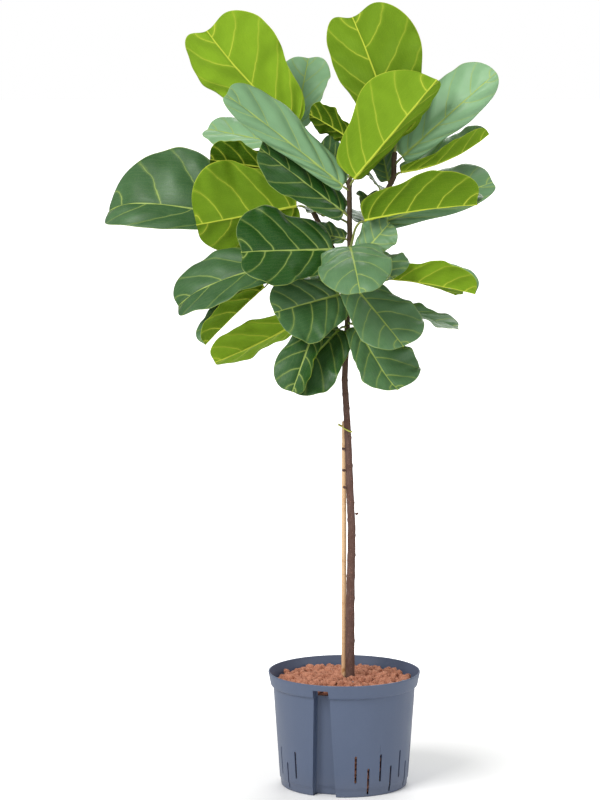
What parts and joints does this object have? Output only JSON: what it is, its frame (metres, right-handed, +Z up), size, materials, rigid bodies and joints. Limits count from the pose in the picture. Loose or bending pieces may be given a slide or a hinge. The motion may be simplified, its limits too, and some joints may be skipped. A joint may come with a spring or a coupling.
{
  "type": "potted fiddle leaf fig",
  "caption": "Young branched fiddle leaf fig with big leathery leaves, tied to a bamboo cane, in a ribbed plastic culture pot of clay granules.",
  "frame": {"origin": "centre of the pot's underside, on the pot axis at the floor", "axes": "+Z up along the pot axis, -Y the side with the recess and the fullest leaves, +X to the right seen from -Y"},
  "size_m": [0.6441, 0.4583, 1.2857],
  "materials": {
    "pot": "satin moulded, slate blue",
    "clay": "fired expanded clay, matt",
    "cane": "bamboo, slightly glossy",
    "tie": "coated wire",
    "bark": "rough bark",
    "leaf": "leathery, soft gloss above and matt below"
  },
  "bodies": {
    "root": {"pot": "pot", "clay_granules": "clay", "support_cane": "cane", "plant_tie": "tie", "stem": "bark", "leaf_01": "leaf", "leaf_02": "leaf", "leaf_03": "leaf", "leaf_04": "leaf", "leaf_05": "leaf", "leaf_06": "leaf", "leaf_07": "leaf", "leaf_08": "leaf", "leaf_09": "leaf", "leaf_10": "leaf", "leaf_11": "leaf", "leaf_12": "leaf", "leaf_13": "leaf", "leaf_14": "leaf", "leaf_15": "leaf", "leaf_16": "leaf", "leaf_17": "leaf", "leaf_18": "leaf", "leaf_19": "leaf", "leaf_20": "leaf", "leaf_21": "leaf", "leaf_22": "leaf", "leaf_23": "leaf", "leaf_24": "leaf", "leaf_25": "leaf", "leaf_26": "leaf", "leaf_27": "leaf", "leaf_28": "leaf", "leaf_29": "leaf", "leaf_30": "leaf", "leaf_31": "leaf", "leaf_32": "leaf", "leaf_33": "leaf", "leaf_34": "leaf", "leaf_35": "leaf", "leaf_36": "leaf", "leaf_37": "leaf", "leaf_38": "leaf", "leaf_39": "leaf", "leaf_40": "leaf", "leaf_41": "leaf", "leaf_42": "leaf", "leaf_43": "leaf"}
  },
  "joints": []
}
